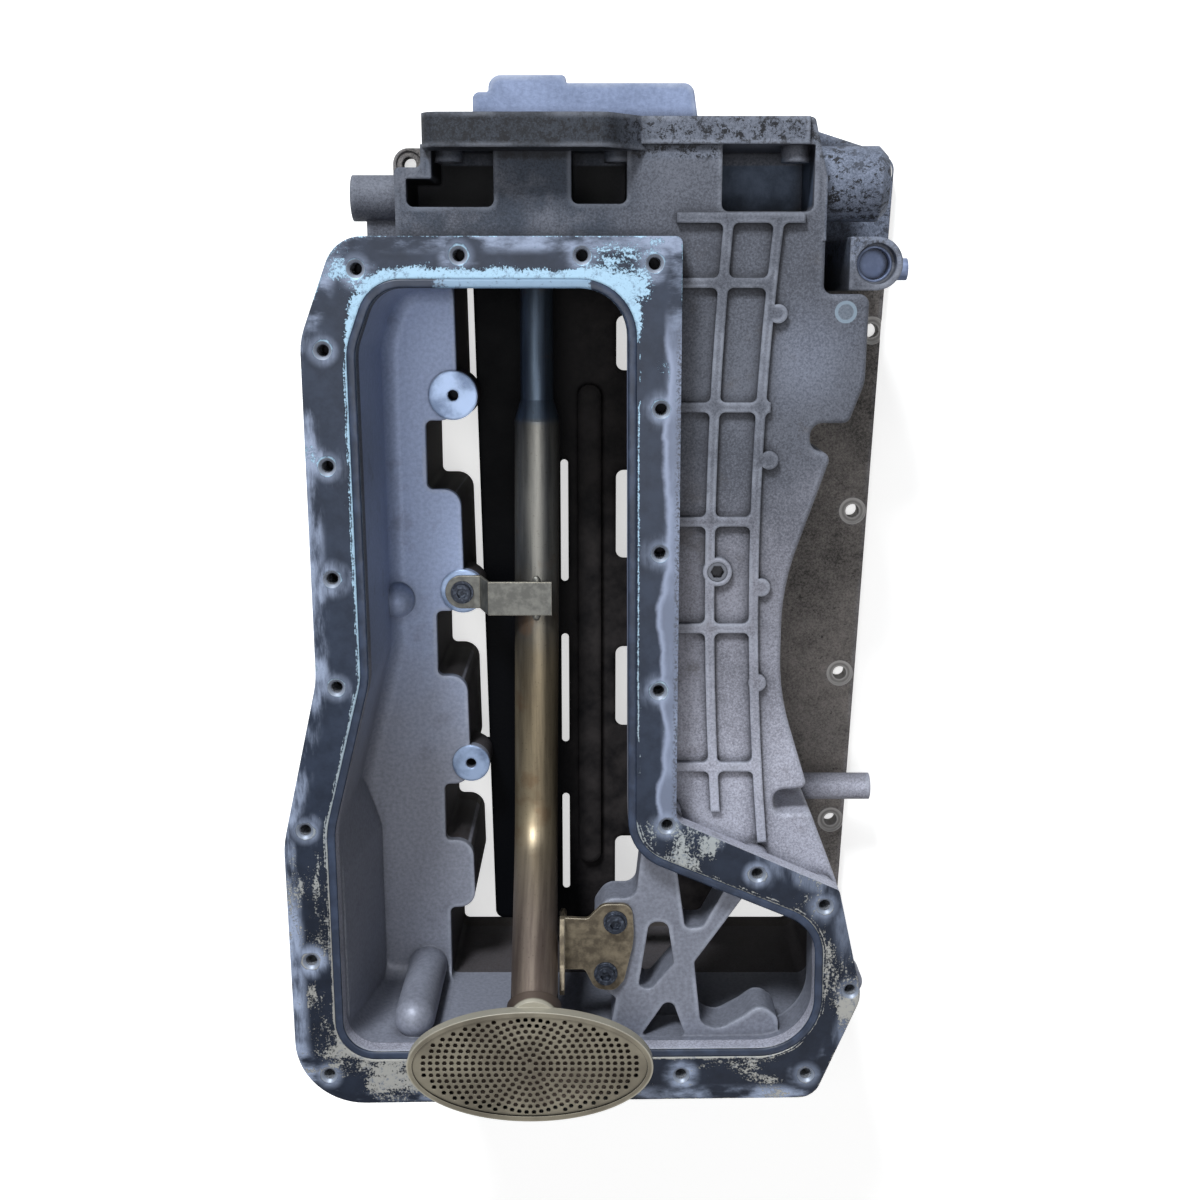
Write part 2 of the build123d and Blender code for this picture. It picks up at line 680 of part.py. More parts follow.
def strainer_housing():
    """Deep-drawn bell that carries the screen in a folded rim, with the collar of the tube."""
    x, y = strainer_centre
    x_radius, y_radius = strainer_radii
    bell_low = rim_low - strainer_bell_height
    floor_x, floor_y = strainer_bell_floor

    def skin(inset):
        floor = Pos(x, y, bell_low + inset) * Ellipse(floor_x - inset, floor_y - inset)
        gather = strainer_rim_fold + inset
        mouth = Pos(x, y, rim_low + inset) * Ellipse(x_radius - gather, y_radius - gather)
        rim = slab(Pos(x, y) * Ellipse(x_radius - inset, y_radius - inset), rim_low + inset, strainer_height)
        return loft([floor, mouth]) + rim

    fold = Ellipse(x_radius, y_radius) - Ellipse(x_radius - strainer_lip, y_radius - strainer_lip)
    cover = slab(Pos(x, y) * fold, strainer_height, strainer_height + strainer_wall)
    direction = (tube_end - Vector(tube_x[1], tube_knee_y, tube_height)).normalized()
    collar_plane = Plane(tube_end - direction * collar_overlap, z_dir=direction)
    length = collar_overlap + collar_reach
    below_rim = box(x - 60, x + 60, y - 60, y + 90, bell_low - 20, rim_low + strainer_wall)
    collar = extrude(collar_plane * Circle(collar_radius), amount=length) & below_rim
    bore_plane = Plane(collar_plane.origin - direction * 2 * strainer_wall, z_dir=direction)
    bore = extrude(bore_plane * Circle(tube_radius), amount=length)
    bore = bore & (Pos(0, 0, -strainer_wall) * below_rim)
    return (skin(0) + collar) - [skin(strainer_wall), bore] + cover


def screen():
    """Perforated plate under the folded rim, drilled in rings round its middle."""
    x, y = strainer_centre
    inset = strainer_wall
    x_radius = strainer_radii[0] - inset
    y_radius = strainer_radii[1] - inset
    plate = slab(Pos(x, y) * Ellipse(x_radius, y_radius), strainer_height - screen_thick, strainer_height)
    drilled_x = x_radius - screen_margin[0]
    drilled_y = y_radius - screen_margin[1]
    holes = []
    for ring in range(1, screen_rings + 1):
        count = 6 * ring
        for step in range(count):
            angle = 2 * math.pi * (step + 0.5) / count
            hole_x = ring * screen_pitch[0] * math.cos(angle)
            hole_y = ring * screen_pitch[1] * math.sin(angle)
            if math.hypot(hole_x / drilled_x, hole_y / drilled_y) < 1:
                shape = Pos(x + hole_x, y + hole_y) * RegularPolygon(screen_hole_radius, 6)
                holes.append(slab(shape, strainer_height - screen_thick, strainer_height))
    return plate - holes


def cup_plug():
    """Pressed steel cup that closes the oil gallery."""
    x, y, radius = gallery_boss
    top = gallery_boss_top - gallery_mouth_depth
    cup = post(x, y, cup_plug_radius, top - cup_plug_depth, top)
    return cup - post(x, y, cup_plug_radius - cup_plug_wall, top - cup_plug_depth + cup_plug_wall, top)


def side_plug():
    """Screwed plug in the side of the gallery boss."""
    x, y, radius = gallery_boss
    face = x + radius
    line_y = y - side_plug_offset
    shank = barrel(line_y, side_plug_z, side_plug_radius, face - side_plug_depth, face)
    return shank + barrel(line_y, side_plug_z, side_plug_head_radius, face, face + side_plug_head_length)


def socket_plug():
    """Screw plug with a hexagon socket, set flush in its boss on the plate."""
    x, y = socket_boss
    top = plate_height + rib_height - 0.6
    body = post(x, y, socket_plug_radius, top - socket_plug_length, top)
    hexagon = RegularPolygon(socket_across_flats / 2, 6, major_radius=False)
    return body - slab(Pos(x, y) * hexagon, top - socket_depth, top)


def sealant_bead():
    """Bead of cured sealant left in the rebate along the opening."""
    return slab(bead_face, pan_height - bead_depth, pan_height)


parts = {
    "pan_casting": casting(),
    "windage_tray": tray(),
    "pickup_tube": tube(),
    "tube_o_ring": o_ring(),
    "tube_strap": strap(),
    "tube_bracket": bracket(),
    "strainer_housing": strainer_housing(),
    "strainer_screen": screen(),
    "gallery_cup_plug": cup_plug(),
    "gallery_side_plug": side_plug(),
    "plate_socket_plug": socket_plug(),
    "sealant_bead": sealant_bead(),
}
strap_x, strap_y, _ = shelf_bosses[1]
strap_seat = shelf_height + shelf_boss_rise + strap_thick
parts["strap_bolt"] = flange_bolt(strap_x, strap_y, strap_seat, bolt_shank_length)
for name, (x, y) in zip(("far", "near"), bracket_bolts):
    seat = brace_top + bracket_thick
    parts[f"bracket_bolt_{name}"] = flange_bolt(x, y, seat, bolt_shank_length)
for number, (x, y) in enumerate(tray_screw_places(), 1):
    parts[f"tray_screw_{number}"] = tray_screw(x, y)

# The origin is the middle of the assembly's base
assembly_box = Compound(list(parts.values())).bounding_box()
centre = assembly_box.center()
base = Pos(-centre.X, -centre.Y, -assembly_box.min.Z)
for name, shape in parts.items():
    export_step(base * shape.solid(), f"parts/{name}.step")
    print(name, len(shape.solids()), round(shape.volume / 1000, 1), "cm3")
print("size", assembly_box.size, "centre", centre)
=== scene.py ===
import math

import bmesh
import bpy
from mathutils import Matrix, Vector
from mathutils.geometry import intersect_point_line


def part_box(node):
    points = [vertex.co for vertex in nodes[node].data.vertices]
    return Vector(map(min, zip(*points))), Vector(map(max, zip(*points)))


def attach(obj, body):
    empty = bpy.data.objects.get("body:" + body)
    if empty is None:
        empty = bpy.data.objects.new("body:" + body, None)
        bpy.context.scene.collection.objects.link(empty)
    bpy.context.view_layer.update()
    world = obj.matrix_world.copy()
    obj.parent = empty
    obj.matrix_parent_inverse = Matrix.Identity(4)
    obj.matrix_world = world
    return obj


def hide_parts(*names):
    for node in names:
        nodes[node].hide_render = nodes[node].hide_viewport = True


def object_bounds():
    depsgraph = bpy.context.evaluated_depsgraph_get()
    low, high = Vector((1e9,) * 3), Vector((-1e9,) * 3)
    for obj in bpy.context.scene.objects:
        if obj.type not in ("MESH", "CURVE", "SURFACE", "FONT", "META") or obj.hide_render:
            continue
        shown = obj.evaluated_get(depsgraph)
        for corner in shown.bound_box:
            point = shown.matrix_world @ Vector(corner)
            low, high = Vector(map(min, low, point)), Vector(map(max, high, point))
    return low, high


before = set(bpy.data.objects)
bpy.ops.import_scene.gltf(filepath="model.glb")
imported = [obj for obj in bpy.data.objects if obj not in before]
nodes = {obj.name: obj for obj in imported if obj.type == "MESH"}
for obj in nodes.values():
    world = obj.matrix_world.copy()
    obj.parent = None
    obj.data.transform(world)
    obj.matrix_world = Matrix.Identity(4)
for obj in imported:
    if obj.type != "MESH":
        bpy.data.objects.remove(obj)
cad_low, cad_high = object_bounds()

# Camera and studio
# The pan lies on its block rail on a pale floor, under three large soft lamps. The camera looks down
# from above the far end of the sump opening and leans a little towards the near end. Plans are
# measured from the point under the camera, which is plan_x, plan_y.
pan_low, pan_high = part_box("pan_casting")
flange_top = pan_high.z
plan_x = -0.002816
plan_y = 0.187851
camera_height = 0.793
camera_tilt = 12.3
focal_pixels = 1400
picture_pixels = 1200
film_width = 36.0
floor_size = 8.0
floor_glow = 0.60
room_strength = 0.17
backdrop_in_metal = 0.22
white = (1, 1, 1, 1)


def srgb(red, green, blue):
    """Colour for a shader from the values 0 to 255 that a picture would hold."""
    linear = []
    for value in (red, green, blue):
        share = value / 255
        linear.append(share / 12.92 if share <= 0.04045 else ((share + 0.055) / 1.055) ** 2.4)
    return (*linear, 1.0)


camera_data = bpy.data.cameras.new("camera")
camera_data.sensor_width = film_width
camera_data.lens = film_width * focal_pixels / picture_pixels
camera = bpy.data.objects.new("camera", camera_data)
camera.location = (plan_x, plan_y, flange_top + camera_height)
camera.rotation_euler = (-math.radians(camera_tilt), 0, 0)
bpy.context.scene.collection.objects.link(camera)
bpy.context.scene.camera = camera
bpy.context.scene.view_settings.view_transform = "Standard"


def soft_lamp(name, place, target, size, watts, tint):
    """Large flat lamp that faces a point of the pan. Its size is its width and length."""
    data = bpy.data.lights.new(name, "AREA")
    data.shape = "RECTANGLE"
    data.size, data.size_y = size
    data.energy = watts
    data.color = tint
    lamp = bpy.data.objects.new(name, data)
    lamp.location = place
    lamp.rotation_euler = (Vector(target) - Vector(place)).to_track_quat("-Z", "Y").to_euler()
    bpy.context.scene.collection.objects.link(lamp)


soft_lamp("far_lamp", (-1.3, 3.8, 3.0), (0, 0, 0.15), (1.0, 1.0), 290, (0.94, 0.97, 1.0))
soft_lamp("top_lamp", (-0.1, 0.1, 1.75), (0, 0, 0.15), (0.5, 1.2), 9, (1.0, 1.0, 1.0))
soft_lamp("near_lamp", (0.5, -1.3, 1.2), (0, 0, 0.1), (1.2, 0.8), 3, (1.0, 0.95, 0.90))


class Wire:
    """A value in a material. Sums, products and other steps on it add their nodes."""

    def __init__(self, tree, socket):
        self.tree = tree
        self.socket = socket

    def step(self, kind, settings, sockets, output=0):
        """One more node: its settings come first, then values or wires for its sockets."""
        node = self.tree.nodes.new(kind)
        for name, value in settings.items():
            setattr(node, name, value)
        for name, value in sockets.items():
            if isinstance(value, Wire):
                self.tree.links.new(value.socket, node.inputs[name])
            else:
                node.inputs[name].default_value = value
        return Wire(self.tree, node.outputs[output])

    def maths(self, operation, first, second=0.0):
        return self.step("ShaderNodeMath", {"operation": operation}, {0: first, 1: second})

    def __add__(self, other):
        return self.maths("ADD", self, other)

    def __sub__(self, other):
        return self.maths("SUBTRACT", self, other)

    def __mul__(self, other):
        return self.maths("MULTIPLY", self, other)

    def __rsub__(self, other):
        return self.maths("SUBTRACT", other, self)

    __radd__ = __add__
    __rmul__ = __mul__

    def least(self, other):
        return self.maths("MINIMUM", self, other)

    def most(self, other):
        return self.maths("MAXIMUM", self, other)

    def size(self):
        return self.maths("ABSOLUTE", self)

    def wave(self):
        return self.maths("SINE", self)

    def ramp(self, low, high):
        """0 where the value is at or under low, 1 at or over high, smooth between; also falls."""
        settings = {"interpolation_type": "SMOOTHSTEP"}
        start, end = (0.0, 1.0) if low < high else (1.0, 0.0)
        sockets = {0: self, 1: min(low, high), 2: max(low, high), 3: start, 4: end}
        return self.step("ShaderNodeMapRange", settings, sockets)

    def over(self, level, blur=0.0005):
        """1 where the value is over a level, with a border that blurs this far to each side."""
        return self.ramp(level - blur, level + blur)

    def under(self, level, blur=0.0005):
        """1 where the value is under a level, with a border of the same kind."""
        return self.ramp(level + blur, level - blur)

    def between(self, levels, blur=0.0005):
        """1 where the value lies between a low and a high level."""
        return self.over(levels[0], blur) * self.under(levels[1], blur)

    def mix(self, bare, full):
        """Colour that goes from bare to full as this value goes from 0 to 1."""
        return self.step("ShaderNodeMix", {"data_type": "RGBA"}, {0: self, 6: bare, 7: full}, 2)

    def noise(self, scale, detail=4.0, rough=0.55, stretch=(1, 1, 1)):
        """Cloudy noise about 0.5 at this place. Scale counts its waves in a metre."""
        place = self.step("ShaderNodeMapping", {}, {0: self, "Scale": stretch})
        sockets = {"Vector": place, "Scale": scale, "Detail": detail, "Roughness": rough}
        return self.step("ShaderNodeTexNoise", {}, sockets)

    def axes(self):
        """The three parts of a place or of a direction."""
        return [self.step("ShaderNodeSeparateXYZ", {}, {0: self}, index) for index in range(3)]

    def facing(self):
        """Direction in which the surface faces, before any easing or relief."""
        return self.step("ShaderNodeNewGeometry", {}, {}, 3)

    def openness(self, distance, samples, inside=False):
        """1 in the open and less in a corner. From the inside, less where the metal is thin."""
        settings = {"samples": samples, "inside": inside}
        return self.step("ShaderNodeAmbientOcclusion", settings, {"Distance": distance}, 1)

    def rounded_edges(self, radius):
        """Surface direction with its sharp edges eased over this radius."""
        return self.step("ShaderNodeBevel", {"samples": 4}, {"Radius": radius})

    def bent_from(self, other):
        """0 where two directions agree, and more along an edge that one of them eases."""
        sockets = {0: self, 1: other}
        return 1 - self.step("ShaderNodeVectorMath", {"operation": "DOT_PRODUCT"}, sockets, 1)

    def bumped(self, height, distance, normal=None):
        """Surface direction with this height, a share of distance in metres, pressed into it."""
        sockets = {"Height": height, "Distance": distance, "Strength": 1.0}
        if normal is not None:
            sockets["Normal"] = normal
        return self.step("ShaderNodeBump", {}, sockets)

    def surface(self, colour, rough, metallic, normal=None, gloss=0.5, alpha=1.0):
        """Shader of one finish. Gloss is the strength of its clear reflection."""
        sockets = {"Base Color": colour, "Roughness": rough, "Metallic": metallic}
        sockets["Specular IOR Level"] = gloss
        sockets["Alpha"] = alpha
        if normal is not None:
            sockets["Normal"] = normal
        return self.step("ShaderNodeBsdfPrincipled", {}, sockets)


def new_finish(name):
    """Empty material, and the place on the surface as its first wire."""
    material = bpy.data.materials.new(name)
    material.use_nodes = True
    tree = material.node_tree
    tree.nodes.clear()
    coordinates = tree.nodes.new("ShaderNodeTexCoord")
    return material, Wire(tree, coordinates.outputs["Object"])


def seal(material, shader):
    """Ends a material with its shader."""
    output = material.node_tree.nodes.new("ShaderNodeOutputMaterial")
    material.node_tree.links.new(shader.socket, output.inputs["Surface"])


def dress(piece, material):
    """Gives a piece this one material."""
    piece.data.materials.clear()
    piece.data.materials.append(material)


def select_none():
    """Leaves nothing selected, so that the next operator acts on its own piece alone."""
    bpy.ops.object.select_all(action="DESELECT")


world = bpy.data.worlds.new("studio")
world.use_nodes = True
bpy.context.scene.world = world
world.node_tree.nodes.clear()
light_path = world.node_tree.nodes.new("ShaderNodeLightPath")
seen = Wire(world.node_tree, light_path.outputs["Is Camera Ray"])
mirrored = Wire(world.node_tree, light_path.outputs["Is Glossy Ray"])
room_sockets = {"Color": (0.92, 0.95, 1.0, 1), "Strength": room_strength}
room_light = seen.step("ShaderNodeBackground", {}, room_sockets)
backdrop = seen.step("ShaderNodeBackground", {}, {"Color": white, "Strength": 1.0})
backdrop_share = seen.most(mirrored * backdrop_in_metal)
sky = seen.step("ShaderNodeMixShader", {}, {0: backdrop_share, 1: room_light, 2: backdrop})
world_output = world.node_tree.nodes.new("ShaderNodeOutputWorld")
world.node_tree.links.new(sky.socket, world_output.inputs["Surface"])

select_none()
bpy.ops.mesh.primitive_plane_add(size=floor_size, location=(0, 0, 0))
floor = bpy.context.object
floor.name = "floor"
floor.location.z = cad_low.z
floor_finish, place = new_finish("pale_floor")
light_path = floor_finish.node_tree.nodes.new("ShaderNodeLightPath")
seen = Wire(floor_finish.node_tree, light_path.outputs["Is Camera Ray"])
paper = place.step("ShaderNodeBsdfDiffuse", {}, {"Color": (0.80, 0.80, 0.79, 1)})
glow = place.step("ShaderNodeEmission", {}, {"Color": white, "Strength": floor_glow})
bright_paper = place.step("ShaderNodeAddShader", {}, {0: paper, 1: glow})
seal(floor_finish, seen.step("ShaderNodeMixShader", {}, {0: seen, 1: paper, 2: bright_paper}))
dress(floor, floor_finish)

# Pan casting
# One aluminium die casting. Outside it is dull, speckled and oily, inside it is cleaner, and its
# joint face, boss tops and spotfaces are machined. Plans are in millimetres, levels in metres.
shelf_bosses = [(-93.0, -62.2), (-89.4, -188.6), (-86.2, -306.2)]
boss_top_levels = (0.09565, 0.09645)
boss_top_radius = 17.5
ring_waves = 9
rail_holes = [
    (185.7, 80.0), (185.7, -23.9), (177.3, -148.4), (172.6, -266.2), (169.9, -378.1), (156.0, -468.0),
]
rail_top = 0.0160
spotface_top = 0.01475
spotface_radius = 9.4
spotface_ring = 6.6
countersink_low = 0.19275
joint_face_low = 0.1937
smooth_patch = (118, -38)
round_pad = (141.3, -9.7)
pad_radius = 6.4
pad_ring_inside = 4.3
sump_left_wall = -0.1425
sump_left_widening = 0.023
far_corner_start = 0.1578
far_corner_slant = 0.365
sump_right = 0.0160
sump_far = 0.19575
sump_top = 0.18375
widened_end_start = -0.1295
widened_end_slant = 0.42
shelf_level = 0.0895
crankcase_left = -0.0978
crankcase_lean = 0.0075
crankcase_right = 0.1030
crankcase_ends = (-0.2765, 0.2310)
near_end_right = 0.1440
near_end_start = -0.169
oily_left = -0.119
nose_start = 0.2860
end_band_start = 0.2625
end_band_level = 0.1662
pocket_ends = (0.23725, 0.26325)
pocket_sides = (-0.1130, 0.1210)
barrel_left = 0.1250
edge_radius = 0.0020
corner_distance = 0.0080
edge_distance = 0.0035
relief_depth = 0.0004
corner_shade = srgb(36, 37, 43)
soot = srgb(24, 25, 30)
rubbed_and_lit_metal = srgb(176, 182, 196)

# each bay of the crankcase's left wall: how far out the wall stands, its far end and its near end
left_bays = [
    (-114.0, -75.0, -125.0), (-110.0, -199.0, -249.0),
    (-107.5, -318.0, -364.5), (-105.5, -407.0, -464.6),
]


def plan(x, y, z=0.0):
    """Place in the frame of a plan point in millimetres."""
    return (x / 1000 + plan_x, y / 1000 + plan_y, z / 1000)


def reach_of_points(place, points):
    """Distance in millimetres to the nearest of some upright lines."""
    millimetres = {0: place, 1: (1000, 1000, 0)}
    flat = place.step("ShaderNodeVectorMath", {"operation": "MULTIPLY"}, millimetres)
    nearest = None
    for point in points:
        sockets = {0: flat, 1: Vector(plan(*point)) * 1000}
        reach = flat.step("ShaderNodeVectorMath", {"operation": "DISTANCE"}, sockets, 1)
        nearest = reach if nearest is None else nearest.least(reach)
    return nearest


casting_finish, place = new_finish("cast_alloy")
x, y, z = place.axes()
upward = place.facing().axes()[2]
side_face = upward.ramp(0.9, 0.7)
openness = place.openness(corner_distance, 4)
thickness = place.openness(edge_distance, 4, inside=True)

# the clean inside of the sump, out to the middle of its walls, and the brace in it
far_corner = (y - far_corner_start).most(0.0) * far_corner_slant
sump_left = far_corner + sump_left_wall - y.ramp(-0.034, -0.130) * sump_left_widening
widened_end = (y + x * widened_end_slant).under(widened_end_start, 0.0015)
inside = ((x - sump_left).over(0, 0.001) * x.under(sump_right)).most(widened_end)
inside = inside * z.over(shelf_level) * z.under(sump_top, 0.00025) * y.under(sump_far, 0.00025)
brace = x.ramp(-0.030, -0.010) * y.ramp(-0.110, -0.150)

# the crankcase under the shelf, painted dark brown both for its oil stains and as painted shade, and
# the dirt splashed low on the outer walls
crankcase = (x - crankcase_left - y.ramp(0.228, -0.274) * crankcase_lean).over(0)
for wall_x, far_y, near_y in left_bays:
    bay_left, bay_near = plan(wall_x, near_y)[:2]
    bay_far = plan(wall_x, far_y)[1]
    bay = x.over(bay_left) * y.ramp(bay_near, bay_near + 0.001)
    crankcase = crankcase.most(bay * y.ramp(bay_far, bay_far - 0.001))
near_end = x.under(near_end_right) * y.under(near_end_start, 0.001)
crankcase = crankcase * x.under(crankcase_right).most(near_end) * y.between(crankcase_ends)
deep_shade_and_oil = z.under(shelf_level) * side_face * crankcase
splashed = z.ramp(0.110, 0.010) * side_face * (1 - crankcase)

# the block rail, the nose, the oily far end, the end flange with its pockets, and the barrel
rail = z.under(rail_top)
nose = y.over(nose_start)
far_end = y.ramp(0.2010, 0.2200) * (1 - nose)
oily = far_end * x.ramp(0.035, -0.010) * x.over(oily_left, 0.001)
end_band = y.over(end_band_start, 0.0015) * (1 - nose) * z.over(end_band_level, 0.0002)
pocket = y.between(pocket_ends, 0.00075) * z.ramp(0.1625, 0.1590) * x.between(pocket_sides)
barrel_side = x.over(barrel_left, 0.001) * y.ramp(0.2000, 0.2100)

# skin of fine sand grain, dirtier towards the far end and rubbed pale towards the near end
mottle = place.noise(750, 4.0, 0.6)
sand = place.noise(2200, 2.0, 0.6)
cloud = place.noise(16, 4.0, 0.6)
stain = place.noise(38, 5.0, 0.65)
grit = place.noise(190, 5.0, 0.85)
grain = (mottle * 0.6 + sand * 0.4 + (cloud - 0.5) * 0.35).ramp(0.34, 0.66)
half_stained = stain.ramp(0.35, 0.65)
cleanness = (cloud - 0.5) * 0.10 - y
dirty_skin = grain.mix(srgb(66, 69, 78), srgb(103, 107, 118))
middle_skin = grain.mix(srgb(92, 93, 102), srgb(138, 139, 150))
pale_skin = grain.mix(srgb(132, 133, 144), srgb(184, 186, 201))
skin = cleanness.ramp(-0.12, -0.01).mix(dirty_skin, middle_skin)
skin = cleanness.ramp(0.00, 0.10).mix(skin, pale_skin)

# a smoother patch of the plate, the round pad with its bright ring, and brown stains
smooth_reach = reach_of_points(place, [smooth_patch]) + (cloud - 0.5) * 60
smooth_skin = grain.mix(srgb(102, 108, 124), srgb(142, 149, 167))
skin = (smooth_reach.ramp(40, 8) * 0.42).mix(skin, smooth_skin)
pad_reach = reach_of_points(place, [round_pad])
pad_face = pad_reach.under(pad_radius, 0.2)
pad_ring = pad_face * pad_reach.over(pad_ring_inside, 0.5)
skin = (pad_ring.most(pad_face * 0.3) * 0.6).mix(skin, srgb(146, 166, 182))
skin = (stain.ramp(0.55, 0.72) * 0.5 * (1 - far_end)).mix(skin, srgb(76, 72, 70))

# the block rail, brown and speckled
rail_grain = (grain - 0.5) * 0.5 + stain * 0.9 + grit * 0.4 - 0.27 + y.ramp(0.02, -0.12) * 0.12
skin = rail.mix(skin, rail_grain.mix(srgb(42, 40, 39), srgb(158, 152, 148)))
skin = (rail * grit.ramp(0.60, 0.66) * 0.8).mix(skin, srgb(30, 28, 27))

# the far end, with soot in blots on the end flange and the barrel, and the pockets painted dark as
# painted shade
skin = (oily * stain.ramp(0.30, 0.60)).mix(skin, grain.mix(srgb(42, 48, 58), srgb(66, 74, 88)))
grimy_band = end_band * (x + (cloud - 0.5) * 0.10).ramp(0.055, 0.010)
skin = (end_band * 0.7).mix(skin, grain.mix(srgb(70, 75, 86), srgb(116, 123, 138)))
skin = (grimy_band * 0.95).mix(skin, grain.mix(srgb(16, 18, 22), srgb(48, 53, 62)))
skin = barrel_side.mix(skin, grain.mix(srgb(76, 83, 98), srgb(122, 131, 150)))
blot = grit.ramp(0.50, 0.56) * cloud.ramp(0.30, 0.56)
skin = (end_band.most(barrel_side) * blot).mix(skin, soot)
# painted shade in the pockets: near black on the left, dark slate with stains on the right
pocket_shade_and_stain = half_stained.mix(srgb(46, 56, 72), srgb(84, 96, 116))
skin = (pocket * x.ramp(0.060, 0.030)).mix(skin, srgb(5, 7, 12))
skin = (pocket * x.ramp(0.030, 0.060)).mix(skin, pocket_shade_and_stain)

# inside the sump, on the nose, in the depth under the shelf and low on the outer walls
clean = place.noise(420, 4.0, 0.6).ramp(0.25, 0.75)
# the far part of the shelf is painted paler and bluer than the near part: painted light from the far
# end, where the far wall casts shade
shelf_far_painted_lit = clean.mix(srgb(140, 154, 184), srgb(156, 170, 202))
shelf_near = clean.mix(srgb(122, 126, 138), srgb(142, 146, 160))
inner_skin = (y + (cloud - 0.5) * 0.1).ramp(0.02, -0.13).mix(shelf_far_painted_lit, shelf_near)
inner_skin = (stain.ramp(0.56, 0.74) * 0.35).mix(inner_skin, srgb(90, 90, 102))
inner_skin = (brace * 0.45).mix(inner_skin, clean.mix(srgb(84, 88, 99), srgb(108, 112, 124)))
skin = inside.mix(skin, inner_skin)
nose_skin = (clean * 0.5 + half_stained * 0.5).mix(srgb(112, 125, 153), srgb(144, 158, 190))
skin = nose.mix(skin, nose_skin)
# painted shade and oil stain: the crankcase under the shelf is dark brown
skin = (deep_shade_and_oil * 0.9).mix(skin, stain.mix(srgb(36, 33, 33), srgb(66, 58, 54)))
skin = (splashed * (0.35 + half_stained * 0.3)).mix(skin, srgb(62, 58, 57))

# painted shade, darker in the corners, and pale metal along the edges that is partly rubbed and
# partly a painted highlight
skin = (openness.ramp(0.92, 0.50) * (1 - inside * 0.6) * 0.9).mix(skin, corner_shade)
patchy = 0.25 + stain.ramp(0.40, 0.60) * 0.75
# the edges are paler partly from real rubbing and partly as a painted highlight
worn_and_lit = thickness.ramp(0.97, 0.70) * (1 - deep_shade_and_oil) * patchy * (1 - rail * 0.6)
skin = (worn_and_lit * (0.40 + nose * 0.1 - far_end * 0.18)).mix(skin, rubbed_and_lit_metal)

# machined faces of the bosses and spotfaces, and the countersinks of the tapped holes
boss_reach = reach_of_points(place, shelf_bosses)
boss_top = z.between(boss_top_levels, 0.00015) * boss_reach.under(boss_top_radius, 0.5)
turned = (boss_reach * ring_waves).wave()
boss_sheen = turned * 0.15 + place.noise(48, 4.0).ramp(0.35, 0.65)
skin = boss_top.mix(skin, boss_sheen.mix(srgb(96, 112, 140), srgb(160, 180, 212)))
countersink = z.over(countersink_low, 0.00025) * upward.between((0.55, 0.85), 0.05)
skin = countersink.mix(skin, srgb(140, 148, 162))
rail_reach = reach_of_points(place, rail_holes)
spotface = rail_reach.under(spotface_radius, 0.2) * z.under(spotface_top, 0.00025)
spotface_sheen = (rail_reach - spotface_ring).size().ramp(1.5, 0.3)
spotface_skin = spotface_sheen.mix(srgb(206, 204, 202), srgb(146, 144, 142))
skin = (spotface * 0.9).mix(skin, spotface_skin)

# joint face where no sealant is left, its metal bluish towards the far end and beige towards the near
# end: a painted tint of the cool light from the far end
joint_face = z.over(joint_face_low, 0.0001) * upward.ramp(0.95, 0.98)
scuff = place.noise(300, 5.0, 0.75)
bare = y.ramp(0.05, -0.20).mix(srgb(158, 190, 212), srgb(164, 164, 160))
bare = (scuff.ramp(0.50, 0.68) * 0.75).mix(bare, srgb(88, 100, 122))
skin = joint_face.mix(skin, bare)

cut = boss_top.most(countersink)
cast_height = (mottle * 0.5 + sand * 0.5 + grit * 0.3) * (1 - inside * 0.8)
relief_height = cast_height * (1 - cut) * (1 - joint_face * 0.8) + turned * boss_top * 0.02
relief = place.bumped(relief_height, relief_depth, place.rounded_edges(edge_radius))
rough = 0.60 - inside * 0.12 - cut * 0.12 - joint_face * 0.12
metal = 0.15 + inside * 0.1 + cut * 0.3 + joint_face * 0.25
seal(casting_finish, place.surface(skin, rough, metal, relief, gloss=0.35))
dress(nodes["pan_casting"], casting_finish)

# Old sealant
# Film of cured sealant on the joint face, scraped off in patches and along the edges. It follows
# the face round the opening and the screw holes.
opening_corners = [
    (15.5, 3.6, 27), (-124.5, 3.6, 20), (-136.8, -30, 30), (-135.6, -222, 50),
    (-159.4, -315, 50), (-159.2, -461.6, 20), (133, -458.8, 34), (131.5, -378, 26),
    (17, -329.6, 32),
]
flange_corners = [
    (45.5, 31.5, 4), (-146, 31.5, 22), (-167.3, -25, 40), (-166.8, -222, 60),
    (-190.5, -324, 60), (-189.5, -497.2, 42), (134, -492.6, 14), (161.5, -424, 22),
    (145.5, -353.5, 4), (45.8, -309, 8),
]
flange_holes = [
    (-134.9, 14.0), (-78.0, 21.2), (-10.0, 21.2), (30.2, 16.8),
    (-155.0, -30.5), (-155.0, -95.6), (-155.0, -160.7), (-155.0, -225.8),
    (-177.5, -315.2), (-177.5, -400.2),
    (-169.5, -477.5), (-96.1, -477.5), (-22.7, -477.5), (50.7, -477.5), (128.9, -477.1),
    (154.5, -419.9), (137.0, -363.8), (95.4, -343.1), (40.4, -311.8),
    (34.5, -228.0), (34.5, -145.6), (34.5, -63.2),
]
flaked_spots = [
    (-152, -464), (54, -322), (160, -415), (-170, -345), (-137, 30), (8, 8), (-132, -480),
]
corner_steps = 6
top_face_depth = 0.0002
film_cell = 0.005
film_lift = 0.0001
film_depth = 0.0002
merge_distance = 0.00001
bead_width = 5.6
blade_line = 6.9
hole_rim = 5.0


